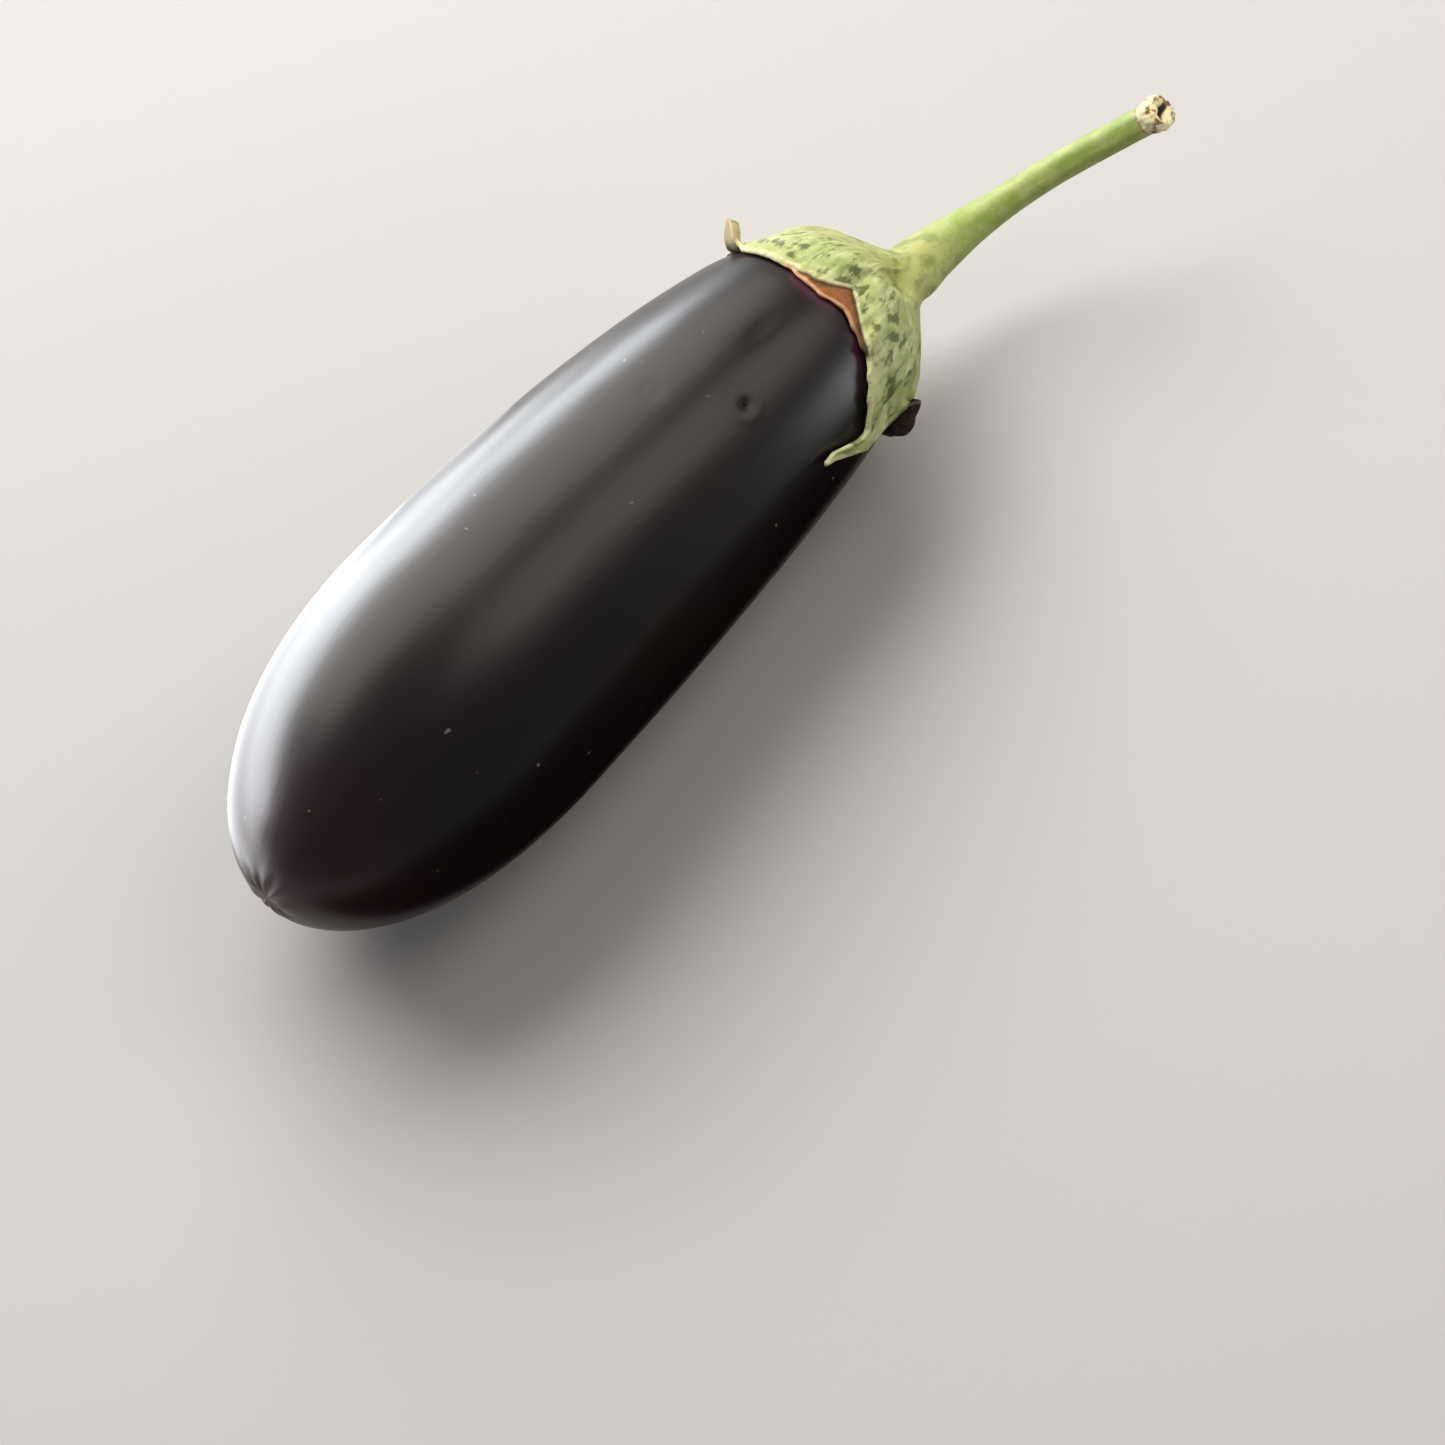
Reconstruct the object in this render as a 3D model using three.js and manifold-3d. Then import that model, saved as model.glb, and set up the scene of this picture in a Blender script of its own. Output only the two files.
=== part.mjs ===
// An eggplant as picked, lying on its side: the dark berry, and the green calyx that caps
// its stem end and runs on into the cut stem.
//
// Both are first drawn about the fruit's own axis, which is X, with the blossom end at x = 0
// and the stem end at FRUIT_LENGTH. Angles round that axis start at +Z and turn towards +Y.
// Then the whole is laid down on its flat spot and centred over the origin.

import * as THREE from 'three';
import { mergeVertices } from 'three/addons/utils/BufferGeometryUtils.js';
import Module from 'manifold-3d';

const wasm = await Module();
wasm.setup();

// The berry. Lengths are millimetres and angles are degrees.
const FRUIT_LENGTH = 175.5;
const BELLY_X = 62;
const BELLY_RADIUS = 32.6;
const SHOULDER_X = 157;
const SHOULDER_RADIUS = 25.2;
const SHOULDER_SLOPE = 0.2;
const BLOSSOM_BLUNTNESS = 15;
const STEM_END_BLUNTNESS = 18.5;
const FRONT_HANDLE = 42;
const BELLY_HANDLE = 30;
const NECK_HANDLE = 24;
const CROWN_HANDLE = 11;
const BOW = 2.6;
const BERRY_ROWS = 42;
const BERRY_COLUMNS = 56;

// How it lies: tipped until its weight is over the flat spot that it rests on.
const LIE_TILT = 2.4;
const FLAT_DEPTH = 1;

// The calyx: a thick cap round the stem, which thins to leathery lobes along the skin. Its
// reach is measured along the skin from the middle of the stem end.
const SKIN_GAP = 0.35;
const CAP_REACH = 13;
const CAP_THICKNESS = 8.3;
const CAP_FALL = 8;
const CAP_LEAN = 0.13;
const CAP_LEANS_TO = -112;
const LOBE_THICKNESS = 1.4;
const BLADE_THICKNESS = 1;
const BLADE_TAPER = 7;
const BLADE_LIFT = 0.9;
const LIFT_ONSET = 3;
const LIFT_LENGTH = 8;
const CLEFT_GROOVE = 0.22;
const CLEFT_WIDTH = 7;

// Dry tips of lobes curl away from the skin, each from its own reach on.
const CURL_RADIUS = 2.3;
const CURL_TURN = 115;
const LEAST_CURL = 0.01;

// The longest lobe's tail swings to the side past this reach.
const TAIL_REACH = 41;
const TAIL_LENGTH = 14;
const TAIL_SWING = 8;

// A dry web under the clefts holds the cap's rim to the fruit.
const WEB_REACH = 31;
const WEB_THICKNESS = 0.9;
const WEB_STEP = 1.5;

// Each lobe runs between two clefts. A side climbs from its cleft by a round shoulder and
// then a point, and a narrow tongue may stand on the tip. Its curl is a share from 0 to 1.
const LOBES = [
  {
    from: -21, tip: 48, to: 101, tongue: 4.5, tongueWidth: 5,
    curl: 1, curlReach: 28.5, curlWidth: 15,
    near: { cleft: 22, shoulder: 10, roundness: 2.8, point: 0.5, sharpness: 6 },
    far: { cleft: 24, shoulder: 7.5, roundness: 2.4, point: 1, sharpness: 3 },
  },
  {
    from: 101, tip: 130, to: 158, tongue: 0, tongueWidth: 5,
    curl: 0.3, curlReach: 28.5, curlWidth: 14,
    near: { cleft: 24, shoulder: 8, roundness: 2, point: 8, sharpness: 2.4 },
    far: { cleft: 25, shoulder: 7, roundness: 2, point: 8, sharpness: 2.4 },
  },
  {
    from: 158, tip: 187, to: 212, tongue: 0, tongueWidth: 5,
    curl: 0, curlReach: 28.5, curlWidth: 14,
    near: { cleft: 25, shoulder: 8, roundness: 2, point: 7, sharpness: 2.6 },
    far: { cleft: 24, shoulder: 9, roundness: 2, point: 7, sharpness: 2.6 },
  },
  {
    from: 212, tip: 250, to: 272, tongue: 0.5, tongueWidth: 9,
    curl: 0.95, curlReach: 25.5, curlWidth: 15,
    near: { cleft: 24, shoulder: 9, roundness: 2.4, point: 2, sharpness: 3 },
    far: { cleft: 33, shoulder: 0, roundness: 2, point: 2, sharpness: 1.2 },
  },
  {
    from: 272, tip: 280.5, to: 339, tongue: 11.5, tongueWidth: 3.1,
    curl: 0, curlReach: 28.5, curlWidth: 14,
    near: { cleft: 33, shoulder: 0, roundness: 2, point: 10.5, sharpness: 0.8 },
    far: { cleft: 22, shoulder: 11, roundness: 2.5, point: 10.5, sharpness: 4 },
  },
];

// The stem leaves the cap along a curve, tapers, and swells to a knob at the slanting cut.
const STEM_ROUTE = [
  [182, -1.6, -1],
  [191, -4.1, -1.7],
  [209.5, -7.8, -0.6],
  [226, -14.5, 5.2],
  [245, -28, 17],
];
const STEM_RADIUS = 3.15;
const STEM_BASE_SWELL = 2.8;
const STEM_BASE_SPAN = 0.25;
const STEM_START = 0.125;
const STEM_RIBS = 5;
const STEM_RIB_HEIGHT = 0.15;
const CAP_HANDLE = 4.5;
const STEM_HANDLE = 5;
const KNOB_START = 0.91;
const KNOB_SWELL = 0.95;
const KNOB_SPAN = 0.03;
const KNOB_EDGE = 0.55;
const KNOB_EDGE_SPAN = 0.03;
const CUT_SLANT = 0.5;
const CUT_SLANT_START = 0.81;
const CUT_FACES = -30;
const PITH_RADIUS = 2;
const PITH_DEPTH = 0.6;

// Rows of the calyx and stem, in the order of the surface: from the middle of the hidden
// inner face out to the rim, back over the outside, up the stem and in over the cut. Every
// column has its rows at the same reach up to the band, which stretches to the rim.
const BAND_REACH = 27;
const INNER_ROWS = 9;
const BAND_ROWS = 5;
const OUTER_ROWS = 6;
const FLARE_ROWS = 4;
const STEM_ROWS = 10;
const KNOB_ROWS = 5;
const CALYX_COLUMNS = 90;
const FIRST_COLUMN = -2;
const SMALL_STEP = 0.5;

const SKIN_COLOUR = 0x1c1016;
const CALYX_COLOUR = 0x8fa05a;

const radians = THREE.MathUtils.degToRad;
const mix = THREE.MathUtils.lerp;

// 0 below 0, 1 above 1, and a smooth climb between.
function ease(value) {
  return THREE.MathUtils.smoothstep(value, 0, 1);
}

// A hump of height 1 that falls off on both sides of its middle.
function hump(offset, width) {
  return Math.exp(-((offset / width) ** 2));
}

// The smallest turn between two angles.
function turnBetween(angle, other) {
  return THREE.MathUtils.euclideanModulo(angle - other + 180, 360) - 180;
}

// A closed surface: the grid of a sphere, with each of its points moved to place(row, column).
// All points of the first row are one point, and so are all of the last.
function closedSurface(rows, columns, place) {
  const surface = new THREE.SphereGeometry(1, columns, rows);
  const { position } = surface.attributes;
  for (let i = 0; i < position.count; i += 1) {
    const row = Math.floor(i / (columns + 1));
    const column = row === 0 || row === rows ? 0 : i % (columns + 1);
    const point = place(row, column % columns);
    position.setXYZ(i, point.x, point.y, point.z);
  }
  surface.deleteAttribute('normal');
  surface.deleteAttribute('uv');
  return mergeVertices(surface, 1e-5);
}

// The half outline of the berry, from the blossom end to the stem end: x along, y outwards.
const outline = new THREE.CurvePath();
outline.add(new THREE.CubicBezierCurve(
  new THREE.Vector2(0, 0),
  new THREE.Vector2(0, BLOSSOM_BLUNTNESS),
  new THREE.Vector2(BELLY_X - FRONT_HANDLE, BELLY_RADIUS),
  new THREE.Vector2(BELLY_X, BELLY_RADIUS),
));
outline.add(new THREE.CubicBezierCurve(
  new THREE.Vector2(BELLY_X, BELLY_RADIUS),
  new THREE.Vector2(BELLY_X + BELLY_HANDLE, BELLY_RADIUS),
  new THREE.Vector2(SHOULDER_X - NECK_HANDLE, SHOULDER_RADIUS + SHOULDER_SLOPE * NECK_HANDLE),
  new THREE.Vector2(SHOULDER_X, SHOULDER_RADIUS),
));
outline.add(new THREE.CubicBezierCurve(
  new THREE.Vector2(SHOULDER_X, SHOULDER_RADIUS),
  new THREE.Vector2(SHOULDER_X + CROWN_HANDLE, SHOULDER_RADIUS - SHOULDER_SLOPE * CROWN_HANDLE),
  new THREE.Vector2(FRUIT_LENGTH, STEM_END_BLUNTNESS),
  new THREE.Vector2(FRUIT_LENGTH, 0),
));
const outlineLength = outline.getLength();

// The skin at a reach from the stem end and an angle round the axis: a point on it, the
// direction on towards the blossom end, and the direction out of the skin.
function skinAt(reach, angle) {
  const fraction = THREE.MathUtils.clamp(1 - reach / outlineLength, 0, 1);
  const spot = outline.getPoint(fraction);
  const slope = outline.getTangent(fraction);
  const turned = (x, r) => new THREE.Vector3(
    x,
    r * Math.sin(radians(angle)),
    r * Math.cos(radians(angle)),
  );
  const point = turned(spot.x, spot.y);
  const along = spot.x / FRUIT_LENGTH;
  point.y += BOW * 4 * along * (1 - along);
  return { point, onwards: turned(-slope.x, -slope.y), outwards: turned(-slope.y, slope.x) };
}

// How far the green blade reaches at an angle.
function bladeReach(angle) {
  const first = LOBES[0].from;
  const turned = first + THREE.MathUtils.euclideanModulo(angle - first, 360);
  const lobe = LOBES.find((one) => turned < one.to);
  const side = turned < lobe.tip ? lobe.near : lobe.far;
  const cleft = turned < lobe.tip ? lobe.from : lobe.to;
  const climb = (turned - cleft) / (lobe.tip - cleft);
  const shoulder = side.shoulder * (1 - (1 - climb) ** side.roundness);
  const point = side.point * climb ** side.sharpness;
  const tongue = lobe.tongue * Math.exp(-(((turned - lobe.tip) / lobe.tongueWidth) ** 4));
  return side.cleft + shoulder + point + tongue;
}

// How much a blade curls at an angle, from 0 to 1, and the reach that it curls from.
function curlAt(angle) {
  let share = 0;
  let reach = 0;
  for (const lobe of LOBES) {
    const curl = lobe.curl * hump(turnBetween(angle, lobe.tip), lobe.curlWidth);
    share += curl;
    reach += curl * lobe.curlReach;
  }
  return { share: Math.min(1, share), start: reach / share };
}

// How deep the valley between two lobes is at an angle, from 0 to 1.
function valleyAt(angle) {
  return Math.max(...LOBES.map((lobe) => hump(turnBetween(angle, lobe.from), CLEFT_WIDTH)));
}

// The underside of the calyx at a reach and an angle, with the direction of its outer side.
function undersideAt(reach, angle) {
  const swing = TAIL_SWING * ease((reach - TAIL_REACH) / TAIL_LENGTH);
  const blade = bladeReach(angle);
  const free = ease((blade - WEB_REACH) / LIFT_ONSET);
  const lift = BLADE_LIFT * free * ease((reach - blade + LIFT_LENGTH) / LIFT_LENGTH);
  const hugging = skinAt(reach, angle + swing);
  hugging.point.addScaledVector(hugging.outwards, SKIN_GAP + lift);
  const { share, start } = curlAt(angle);
  if (reach <= start || share < LEAST_CURL) {
    return hugging;
  }
  const root = skinAt(start, angle);
  const bend = Math.min((reach - start) / CURL_RADIUS, radians(CURL_TURN));
  const straight = reach - start - bend * CURL_RADIUS;
  const ahead = CURL_RADIUS * Math.sin(bend) + straight * Math.cos(bend);
  const up = CURL_RADIUS * (1 - Math.cos(bend)) + straight * Math.sin(bend);
  root.point.addScaledVector(root.onwards, ahead);
  root.point.addScaledVector(root.outwards, SKIN_GAP + lift + up);
  root.outwards.multiplyScalar(Math.cos(bend)).addScaledVector(root.onwards, -Math.sin(bend));
  return {
    point: hugging.point.lerp(root.point, share),
    outwards: hugging.outwards.lerp(root.outwards, share).normalize(),
  };
}

// The thickness of the calyx at a reach and an angle.
function thicknessAt(reach, angle) {
  const blade = bladeReach(angle);
  const { share, start } = curlAt(angle);
  const edge = mix(blade, Math.min(blade, start), share);
  const fall = Math.exp(-(reach - CAP_REACH) / CAP_FALL);
  const lean = 1 + CAP_LEAN * Math.cos(radians(angle - CAP_LEANS_TO));
  const cap = LOBE_THICKNESS + (CAP_THICKNESS * lean - LOBE_THICKNESS) * fall;
  const grooved = cap * (1 - CLEFT_GROOVE * valleyAt(angle));
  const lobe = mix(BLADE_THICKNESS, grooved, ease((edge - reach) / BLADE_TAPER));
  return mix(WEB_THICKNESS, lobe, ease((blade + WEB_STEP - reach) / WEB_STEP));
}

// A point in the calyx: depth 0 is its underside and 1 its outer side.
function calyxPoint(reach, angle, depth) {
  const { point, outwards } = undersideAt(reach, angle);
  return point.addScaledVector(outwards, depth * thicknessAt(reach, angle));
}

const stemRoute = new THREE.CatmullRomCurve3(STEM_ROUTE.map((spot) => new THREE.Vector3(...spot)));

// The stem's radius at a fraction of its route, and at an angle round it.
function stemRadius(along, angle) {
  const base = STEM_BASE_SWELL * hump(along - STEM_START, STEM_BASE_SPAN);
  const knob = KNOB_SWELL * ease((along - KNOB_START) / KNOB_SPAN);
  const edge = KNOB_EDGE * Math.max(0, 1 - (1 - along) / KNOB_EDGE_SPAN) ** 2;
  const ribs = STEM_RIB_HEIGHT * Math.cos(STEM_RIBS * radians(angle));
  return STEM_RADIUS + base + knob - edge + ribs;
}

// A point of the stem at a fraction of its route and an angle; spread 1 is the surface. The
// rings lean more and more towards the cut, so that the last one lies in its plane.
function stemPoint(along, angle, spread, depth) {
  const point = stemRoute.getPointAt(along);
  const ahead = stemRoute.getTangentAt(along);
  const upwards = new THREE.Vector3(0, 0, 1).projectOnPlane(ahead).normalize();
  const sideways = upwards.clone().cross(ahead);
  const radius = stemRadius(along, angle) * spread;
  const lean = CUT_SLANT * ease((along - CUT_SLANT_START) / (1 - CUT_SLANT_START));
  const slide = -lean * radius * Math.cos(radians(angle - CUT_FACES)) - depth;
  point.addScaledVector(upwards, radius * Math.cos(radians(angle)));
  point.addScaledVector(sideways, radius * Math.sin(radians(angle)));
  return point.addScaledVector(ahead, slide);
}

// The flare that joins the cap to the stem, at a fraction of the way up.
function flarePoint(fraction, angle) {
  const foot = calyxPoint(CAP_REACH, angle, 1);
  const leaving = foot.clone().sub(calyxPoint(CAP_REACH + SMALL_STEP, angle, 1)).normalize();
  const top = stemPoint(STEM_START, angle, 1, 0);
  const arriving = stemRoute.getTangentAt(STEM_START);
  const flare = new THREE.CubicBezierCurve3(
    foot,
    foot.clone().addScaledVector(leaving, CAP_HANDLE),
    top.clone().addScaledVector(arriving, -STEM_HANDLE),
    top,
  );
  return flare.getPoint(fraction);
}

function makeBerry() {
  return closedSurface(BERRY_ROWS, BERRY_COLUMNS, (row, column) => {
    const reach = outlineLength * (1 - row / BERRY_ROWS);
    return skinAt(reach, (360 * column) / BERRY_COLUMNS).point;
  });
}

// One column of the calyx and stem: its points from the inner middle to the cut's middle.
function calyxColumn(angle) {
  const rim = Math.max(bladeReach(angle), WEB_REACH);
  const points = [];
  for (let i = 0; i < INNER_ROWS; i += 1) {
    points.push(calyxPoint(mix(0, BAND_REACH, i / INNER_ROWS), angle, 0));
  }
  for (let i = 0; i <= BAND_ROWS; i += 1) {
    points.push(calyxPoint(mix(BAND_REACH, rim, i / BAND_ROWS), angle, 0));
  }
  points.push(calyxPoint(rim + thicknessAt(rim, angle) / 2, angle, 0.5));
  for (let i = 0; i < BAND_ROWS; i += 1) {
    points.push(calyxPoint(mix(rim, BAND_REACH, i / BAND_ROWS), angle, 1));
  }
  for (let i = 0; i < OUTER_ROWS; i += 1) {
    points.push(calyxPoint(mix(BAND_REACH, CAP_REACH, i / OUTER_ROWS), angle, 1));
  }
  for (let i = 0; i < FLARE_ROWS; i += 1) {
    points.push(flarePoint(i / FLARE_ROWS, angle));
  }
  for (let i = 0; i < STEM_ROWS; i += 1) {
    points.push(stemPoint(mix(STEM_START, KNOB_START, i / STEM_ROWS), angle, 1, 0));
  }
  for (let i = 0; i <= KNOB_ROWS; i += 1) {
    points.push(stemPoint(mix(KNOB_START, 1, i / KNOB_ROWS), angle, 1, 0));
  }
  points.push(stemPoint(1, angle, PITH_RADIUS / STEM_RADIUS, 0));
  points.push(stemPoint(1, angle, 0, PITH_DEPTH));
  return points;
}

function makeCalyxAndStem() {
  const columns = [];
  for (let i = 0; i < CALYX_COLUMNS; i += 1) {
    columns.push(calyxColumn(FIRST_COLUMN + (360 * i) / CALYX_COLUMNS));
  }
  return closedSurface(columns[0].length - 1, CALYX_COLUMNS, (row, column) => columns[column][row]);
}

function toSolid(geometry) {
  return new wasm.Manifold(new wasm.Mesh({
    numProp: 3,
    vertProperties: geometry.attributes.position.array,
    triVerts: Uint32Array.from(geometry.index.array),
  }));
}

function toGeometry(solid) {
  const mesh = solid.getMesh();
  const geometry = new THREE.BufferGeometry();
  geometry.setAttribute('position', new THREE.BufferAttribute(mesh.vertProperties, 3));
  geometry.setIndex(new THREE.BufferAttribute(mesh.triVerts, 1));
  return geometry;
}

// Lays a piece down in the way that the whole fruit lies.
function laid(geometry) {
  return geometry.rotateY(radians(LIE_TILT));
}

// The berry laid down, with the flat spot that it rests on cut from its underside.
function layBerry() {
  const berry = laid(makeBerry());
  berry.computeBoundingBox();
  const lowest = berry.boundingBox.min.z;
  const floor = new THREE.BoxGeometry(2 * FRUIT_LENGTH, 4 * BELLY_RADIUS, BELLY_RADIUS);
  floor.translate(FRUIT_LENGTH / 2, 0, lowest + FLAT_DEPTH - BELLY_RADIUS / 2);
  floor.deleteAttribute('normal');
  floor.deleteAttribute('uv');
  return toGeometry(toSolid(berry).subtract(toSolid(mergeVertices(floor))));
}

const skinMaterial = new THREE.MeshStandardMaterial({
  color: SKIN_COLOUR, roughness: 0.28, metalness: 0,
});
const calyxMaterial = new THREE.MeshStandardMaterial({
  color: CALYX_COLOUR, roughness: 0.7, metalness: 0,
});

const fruit = new THREE.Mesh(layBerry(), skinMaterial);
fruit.name = 'fruit';
const calyxAndStem = new THREE.Mesh(laid(makeCalyxAndStem()), calyxMaterial);
calyxAndStem.name = 'calyx_and_stem';

const eggplant = new THREE.Group();
eggplant.add(fruit, calyxAndStem);
const extent = new THREE.Box3().setFromObject(eggplant, true);
const middle = extent.getCenter(new THREE.Vector3());
eggplant.position.set(-middle.x, -middle.y, -extent.min.z);

export default eggplant;
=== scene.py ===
# An eggplant as picked, lying on its side on a pale studio floor.
#
# The berry, and the calyx with its stem, are worked out in metres about the fruit's own axis:
# the blossom end is at x = 0, the stem end at FRUIT_LENGTH, and angles round the axis, in
# degrees, start at +Z and turn towards +Y. Each is then laid down as the whole fruit lies.

import math
from collections import namedtuple

import bpy
import numpy as np
from mathutils import Matrix, Vector, noise


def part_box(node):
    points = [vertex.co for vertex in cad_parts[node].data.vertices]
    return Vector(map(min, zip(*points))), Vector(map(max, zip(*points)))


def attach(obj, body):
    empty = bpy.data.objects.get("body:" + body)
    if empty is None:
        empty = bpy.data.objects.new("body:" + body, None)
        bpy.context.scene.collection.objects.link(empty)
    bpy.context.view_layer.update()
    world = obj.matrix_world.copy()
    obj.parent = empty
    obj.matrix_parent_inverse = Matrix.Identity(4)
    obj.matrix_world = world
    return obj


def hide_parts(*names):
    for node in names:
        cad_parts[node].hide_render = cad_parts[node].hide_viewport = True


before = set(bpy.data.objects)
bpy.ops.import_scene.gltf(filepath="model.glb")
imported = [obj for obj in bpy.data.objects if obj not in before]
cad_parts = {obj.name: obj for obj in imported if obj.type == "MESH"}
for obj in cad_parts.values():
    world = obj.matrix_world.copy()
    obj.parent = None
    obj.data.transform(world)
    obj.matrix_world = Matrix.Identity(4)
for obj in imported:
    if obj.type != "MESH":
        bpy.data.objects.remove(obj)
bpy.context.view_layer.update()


# ---------------------------------------------------------------------------------------------
# The berry: spongy flesh in a thin, waxy, nearly black purple skin, grown as one solid. Half
# its outline is drawn as a curve and spun round the fruit's axis. The skin is then worked by
# small moves into its bow, swells, dents and blossom scar, and cut flat where it rests.

FRUIT_LENGTH = 0.1755
BELLY_X = 0.062
BELLY_RADIUS = 0.0326
SHOULDER_X = 0.157
SHOULDER_RADIUS = 0.0252
SHOULDER_SLOPE = 0.2
BLOSSOM_BLUNTNESS = 0.015
STEM_END_BLUNTNESS = 0.0185
FRONT_HANDLE = 0.042
BELLY_HANDLE = 0.030
NECK_HANDLE = 0.024
CROWN_HANDLE = 0.011
OUTLINE_STEPS = 64
SPIN_STEPS = 320
MERGE_DISTANCE = 1e-6
SMOOTH_ANGLE = 50
BOW = 0.0026
LIE_TILT = 2.4

bpy.ops.object.select_all(action="DESELECT")
bpy.ops.curve.primitive_bezier_curve_add()
berry = bpy.context.object
berry.name = "berry"
berry.data.resolution_u = OUTLINE_STEPS
spline = berry.data.splines[0]
spline.bezier_points.add(2)
outline = [
    # before, at and after each knot: x along the axis and the radius there
    ((0, 0), (0, 0), (0, BLOSSOM_BLUNTNESS)),
    (
        (BELLY_X - FRONT_HANDLE, BELLY_RADIUS),
        (BELLY_X, BELLY_RADIUS),
        (BELLY_X + BELLY_HANDLE, BELLY_RADIUS),
    ),
    (
        (SHOULDER_X - NECK_HANDLE, SHOULDER_RADIUS + SHOULDER_SLOPE * NECK_HANDLE),
        (SHOULDER_X, SHOULDER_RADIUS),
        (SHOULDER_X + CROWN_HANDLE, SHOULDER_RADIUS - SHOULDER_SLOPE * CROWN_HANDLE),
    ),
    ((FRUIT_LENGTH, STEM_END_BLUNTNESS), (FRUIT_LENGTH, 0), (FRUIT_LENGTH, 0)),
]
for knot, (before, at, after) in zip(spline.bezier_points, outline):
    knot.handle_left_type = knot.handle_right_type = "FREE"
    knot.handle_left = (before[0], 0, before[1])
    knot.co = (at[0], 0, at[1])
    knot.handle_right = (after[0], 0, after[1])
bpy.ops.object.convert(target="MESH")

# The long middle stretch gets twice as many rings as the curve gives it.
bpy.ops.object.mode_set(mode="EDIT")
bpy.ops.mesh.select_all(action="DESELECT")
bpy.ops.object.mode_set(mode="OBJECT")
for vertex in berry.data.vertices:
    vertex.select = BELLY_X <= vertex.co.x <= SHOULDER_X
bpy.ops.object.mode_set(mode="EDIT")
bpy.ops.mesh.subdivide(number_cuts=1)
bpy.ops.object.mode_set(mode="OBJECT")


def kept(piece, name):
    """The vectors kept for a piece's vertices, as an array. "position" is their places."""
    data = piece.data.attributes[name].data
    values = np.empty(len(data) * 3, np.float32)
    data.foreach_get("vector", values)
    return values.reshape(-1, 3).astype(float)


def keep(piece, name, values):
    """Keeps a number or a vector for each of a piece's vertices."""
    kind, field = ("FLOAT", "value") if np.ndim(values) == 1 else ("FLOAT_VECTOR", "vector")
    attributes = piece.data.attributes
    attribute = attributes.get(name) or attributes.new(name, kind, "POINT")
    attribute.data.foreach_set(field, np.ravel(values).astype(np.float32))
    piece.data.update()


profile = kept(berry, "position")
profile = profile[np.argsort(profile[:, 0])][:, [0, 2]]
from_blossom = np.append(0, np.cumsum(np.hypot(*np.diff(profile, axis=0).T)))
half_outline = from_blossom[-1]

bpy.ops.object.mode_set(mode="EDIT")
bpy.ops.mesh.select_all(action="SELECT")
bpy.ops.mesh.spin(steps=SPIN_STEPS, angle=2 * math.pi, center=(0, 0, 0), axis=(1, 0, 0))
bpy.ops.mesh.select_all(action="SELECT")
bpy.ops.mesh.remove_doubles(threshold=MERGE_DISTANCE)
bpy.ops.mesh.normals_make_consistent(inside=False)
bpy.ops.object.mode_set(mode="OBJECT")


def ease(value):
    """0 below 0, 1 above 1, and a smooth climb between."""
    value = np.clip(value, 0, 1)
    return value * value * (3 - 2 * value)


def hump(offset, width):
    """A hump of height 1 that falls off on both sides of its middle."""
    return np.exp(-((offset / width) ** 2))


def turn_between(angle, other):
    """The smallest turn between two angles."""
    return (angle - other + 180) % 360 - 180


def bow(x):
    """How far the fruit's axis stands aside, towards +Y."""
    return BOW * 4 * (x / FRUIT_LENGTH) * (1 - x / FRUIT_LENGTH)


SEED_STEPS = (7.3, 3.1, 5.7)


def wander(points, length, seed):
    """A smooth random wander between about -1 and 1, over lengths of this size."""
    start = Vector([seed * step for step in SEED_STEPS])
    return np.array([noise.noise(Vector(point) / length + start) for point in points])


# Each mark in the skin: how far it is from the blossom end along the skin, its angle, how long
# it is that way, how wide it is across, and how deep it is.
Dent = namedtuple("Dent", "along angle length width depth")
DENTS = [
    Dent(0.1445, -25.5, 0.0008, 0.0009, 0.00055),
    Dent(0.1445, -25.5, 0.0024, 0.0024, 0.00012),
    Dent(0.1335, 3.5, 0.0023, 0.0021, 0.00030),
    Dent(0.1335, 3.5, 0.0012, 0.0011, -0.00020),
    Dent(0.1600, -7.5, 0.0050, 0.0016, 0.00017),
    Dent(0.0870, 40, 0.0110, 0.0050, 0.00022),
    Dent(0.0720, 150, 0.0060, 0.0080, 0.00030),
    Dent(0.1180, -140, 0.0040, 0.0025, 0.00025),
]
PIT = DENTS[0]
PIT_RIM = 0.0031
PIT_RIM_WIDTH = 0.0009
PIT_RIM_HEIGHT = 0.00009
SWELL_HEIGHT = 0.00032
SWELL_LENGTH = 0.030
SWELL_STRETCH = (0.45, 1, 1)
RIPPLE_HEIGHT = 0.00005
RIPPLE_LENGTH = 0.009
RIPPLE_STRETCH = (0.6, 1, 1)
CALM_END = 0.030
SCAR_RADIUS = 0.0034
SCAR_DEPTH = 0.0007
PUCKER_COUNT = 9
PUCKER_DEPTH = 0.00016
PUCKER_REACH = 0.0095
PUCKER_SWAY = 2
SKIN_WRAP = 0.030

round_axis = kept(berry, "position")
angle = np.degrees(np.arctan2(round_axis[:, 1], round_axis[:, 2]))
radius = np.hypot(round_axis[:, 1], round_axis[:, 2])
along = np.interp(round_axis[:, 0], profile[:, 0], from_blossom)
swell = SWELL_HEIGHT * wander(round_axis * SWELL_STRETCH, SWELL_LENGTH, seed=3)
swell += RIPPLE_HEIGHT * wander(round_axis * RIPPLE_STRETCH, RIPPLE_LENGTH, seed=5)
swell *= ease(along / CALM_END) * ease((half_outline - along) / CALM_END - 1)
for dent in DENTS:
    across = np.radians(turn_between(angle, dent.angle)) * radius
    swell -= dent.depth * hump(along - dent.along, dent.length) * hump(across, dent.width)
pit_across = np.radians(turn_between(angle, PIT.angle)) * radius
from_pit = np.hypot(along - PIT.along, pit_across)
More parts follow.
